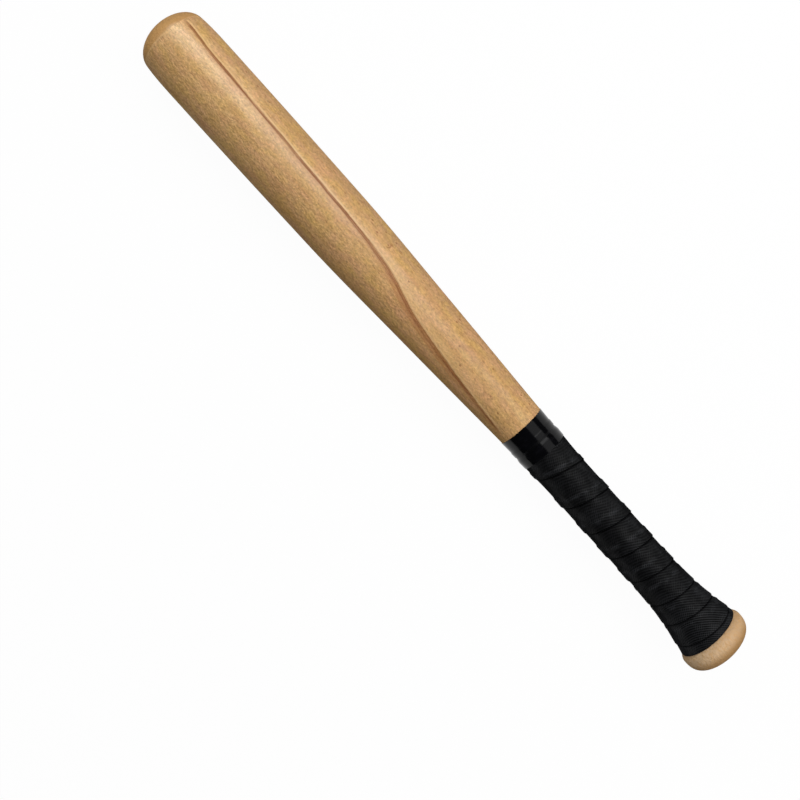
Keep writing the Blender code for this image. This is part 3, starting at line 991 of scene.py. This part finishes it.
class TurnBody(bpy.types.Operator):
    """Turns the wooden body round X and varnishes it"""

    bl_idname = "bat.turn_body"
    bl_label = "Turn the body"

    def execute(self, context):
        sizes = context.scene.bat_body
        outline = BodyOutline(sizes)
        turned = bmesh.new()
        line = [turned.verts.new((x, radius, 0.0)) for x, radius in outline.points()]
        edges = [turned.edges.new(pair) for pair in zip(line, line[1:])]
        whole = {"cent": (0, 0, 0), "axis": (1, 0, 0), "angle": math.tau, "use_merge": True}
        bmesh.ops.spin(turned, geom=line + edges, steps=sizes.sides, **whole)
        bmesh.ops.remove_doubles(turned, verts=turned.verts, dist=1e-6)
        bmesh.ops.recalc_face_normals(turned, faces=turned.faces)
        edge = [e for e in turned.edges if all(abs(v.co.x - outline.edge) < 1e-6 for v in e.verts)]
        rounding = {"offset": sizes.edge_round, "segments": 4, "profile": 0.5, "material": -1}
        bmesh.ops.bevel(turned, geom=edge, affect="EDGES", **rounding)
        body = finished("turned_body", turned, math.radians(35))
        dressed(body, beech(context.scene.bat_beech, outline), "bat_body")
        return {"FINISHED"}


class WindGrip(bpy.types.Operator):
    """Winds the grip tape from the knob towards the barrel"""

    bl_idname = "bat.wind_grip"
    bl_label = "Wind the grip tape"

    def execute(self, context):
        sizes = context.scene.bat_grip
        winding = GripWinding(sizes, BodyOutline(context.scene.bat_body))
        grip, run = wound_strip("grip_winding", winding)
        dressed(grip, net_tape(sizes), "grip_tape")
        print(f"grip tape: {run:.3f} m long")
        return {"FINISHED"}


class WindFinish(bpy.types.Operator):
    """Winds the finishing tape over the end of the grip tape"""

    bl_idname = "bat.wind_finish"
    bl_label = "Wind the finishing tape"

    def execute(self, context):
        sizes = context.scene.bat_finish
        outline = BodyOutline(context.scene.bat_body)
        winding = FinishWinding(sizes, outline, GripWinding(context.scene.bat_grip, outline))
        band, run = wound_strip("finish_winding", winding)
        dressed(band, gloss_tape(sizes), "finish_tape")
        print(f"finishing tape: {run:.3f} m long")
        return {"FINISHED"}


class SetStage(bpy.types.Operator):
    """Makes the floor, the lights and the camera"""

    bl_idname = "bat.set_stage"
    bl_label = "Set the stage"

    def execute(self, context):
        stage = context.scene.bat_stage
        lay_floor(stage)
        light_world(context.scene, stage)
        hang_lights(stage)
        place_camera(context.scene, stage)
        context.scene.view_settings.view_transform = "Standard"
        return {"FINISHED"}


def lay_floor(stage):
    """A pale floor, white to the camera but for a soft shadow, and dimmer to the bat."""
    floor = bmesh.new()
    bmesh.ops.create_grid(floor, x_segments=8, y_segments=8, size=stage.floor_size / 2)
    bmesh.ops.translate(floor, verts=floor.verts, vec=(stage.foot, 0.0, CAD_BOUNDS[0].z))
    laid = finished("floor", floor, math.radians(30))
    graph = Graph(bpy.data.materials.new("pale_floor"))
    plain = graph.tree.nodes["Principled BSDF"]
    camera, gloss, glass = graph.rays()
    seen = graph.maths("MINIMUM", camera + gloss + glass, 1.0)
    paint = graph.blend(seen, grey(stage.floor_dim), grey(stage.floor_lit))
    graph.feed(plain.inputs["Base Color"], paint)
    graph.feed(plain.inputs["Roughness"], 0.9)
    white = graph.node("ShaderNodeEmission", 0, {"Color": grey(1.0), "Strength": 1.0})
    shaders = {0: seen * stage.floor_white, 1: Wire(graph, plain.outputs[0]), 2: white}
    surface = graph.node("ShaderNodeMixShader", 0, shaders)
    graph.feed(graph.tree.nodes["Material Output"].inputs["Surface"], surface)
    laid.data.materials.append(graph.owner)


def light_world(scene, stage):
    """A dim room, but white behind the floor, which gloss and glass see as a low backdrop."""
    scene.world = bpy.data.worlds.new("studio")
    graph = Graph(scene.world)
    camera, gloss, glass = graph.rays()
    up = graph.parts(graph.node("ShaderNodeTexCoord", "Generated"))[2]
    low = up.ramp(stage.backdrop + stage.backdrop_fade, stage.backdrop)
    white = graph.maths("MINIMUM", camera + (gloss + glass) * low, 1.0)
    room = (1.0 - gloss * stage.room_dim) * stage.room
    background = graph.tree.nodes["Background"].inputs
    graph.feed(background["Color"], grey(1.0))
    graph.feed(background["Strength"], white + (1.0 - white) * room)


def area_light(name, ends, width, bright, way, distance):
    """A rectangle of light along the bat, that faces its axis from so far away."""
    lamp = bpy.data.lights.new(name, "AREA")
    lamp.shape = "RECTANGLE"
    lamp.size = ends[1] - ends[0]
    lamp.size_y = width
    lamp.energy = bright * math.pi * lamp.size * lamp.size_y
    hung = placed(name, lamp)
    back = Vector((0.0, -math.sin(way), math.cos(way)))
    along = Vector((1, 0, 0))
    turn = Matrix((along, back.cross(along), back)).transposed()
    place = Vector((sum(ends) / 2, 0.0, 0.0)) + back * distance
    hung.matrix_world = Matrix.Translation(place) @ turn.to_4x4()
    return hung


def hang_lights(stage):
    """A long panel, which gloss sees dim over the handle, and a fill that it doesn't see."""
    start = stage.foot - stage.panel_reach
    split = stage.panel_split
    end = stage.foot + stage.panel_reach
    bright, dim = stage.panel_bright, stage.panel_bright * stage.panel_dim
    seen, unseen = stage.panel_distance, stage.panel_distance + LAMP_GAP
    lamps = (
        ("panel", (split, end), bright, stage.panel_angle, seen),
        ("panel_dim", (start, split), dim, stage.panel_angle, seen),
        ("panel_rest", (start, split), bright - dim, stage.panel_angle, unseen),
        ("fill", (start, end), stage.fill_bright, stage.fill_angle, unseen),
    )
    for name, ends, brightness, way, distance in lamps:
        lamp = area_light(name, ends, stage.panel_width, brightness, way, distance)
        lamp.visible_glossy = distance == seen


def place_camera(scene, stage):
    """The camera of the photograph: above the bat, looking straight down, off its middle."""
    data = bpy.data.cameras.new("camera")
    camera = placed("camera", data)
    camera.location = (stage.foot, 0.0, stage.height)
    camera.rotation_euler = (0.0, 0.0, stage.heading)
    data.lens = stage.focal_pixels / stage.picture * data.sensor_width
    data.shift_x = -stage.axis_right / stage.picture
    data.shift_y = -stage.axis_up / stage.picture
    data.clip_start = 0.01
    scene.camera = camera


class BatPanel(bpy.types.Panel):
    """Lists the steps that make the bat"""

    bl_idname = "VIEW3D_PT_bat"
    bl_label = "Short Wooden Bat"
    bl_space_type = "VIEW_3D"
    bl_region_type = "UI"
    bl_category = "Bat"

    def draw(self, context):
        for step in STEPS:
            self.layout.operator(step.bl_idname)
        for name in SETTINGS:
            group = getattr(context.scene, name)
            box = self.layout.box()
            for item in group.__annotations__:
                box.prop(group, item)


STEPS = (TurnBody, WindGrip, WindFinish, SetStage)
SETTINGS = {
    "bat_body": BodySizes,
    "bat_grip": GripSizes,
    "bat_finish": FinishSizes,
    "bat_beech": BeechLook,
    "bat_stage": StageSettings,
}


def register():
    for made in (*SETTINGS.values(), *STEPS, BatPanel):
        bpy.utils.register_class(made)
    for name, group in SETTINGS.items():
        setattr(bpy.types.Scene, name, bpy.props.PointerProperty(type=group))


def unregister():
    for name in SETTINGS:
        delattr(bpy.types.Scene, name)
    for made in (BatPanel, *STEPS, *SETTINGS.values()):
        bpy.utils.unregister_class(made)


def main():
    register()
    bpy.ops.bat.turn_body()
    bpy.ops.bat.wind_grip()
    bpy.ops.bat.wind_finish()
    bpy.ops.bat.set_stage()


if __name__ == "__main__":
    main()
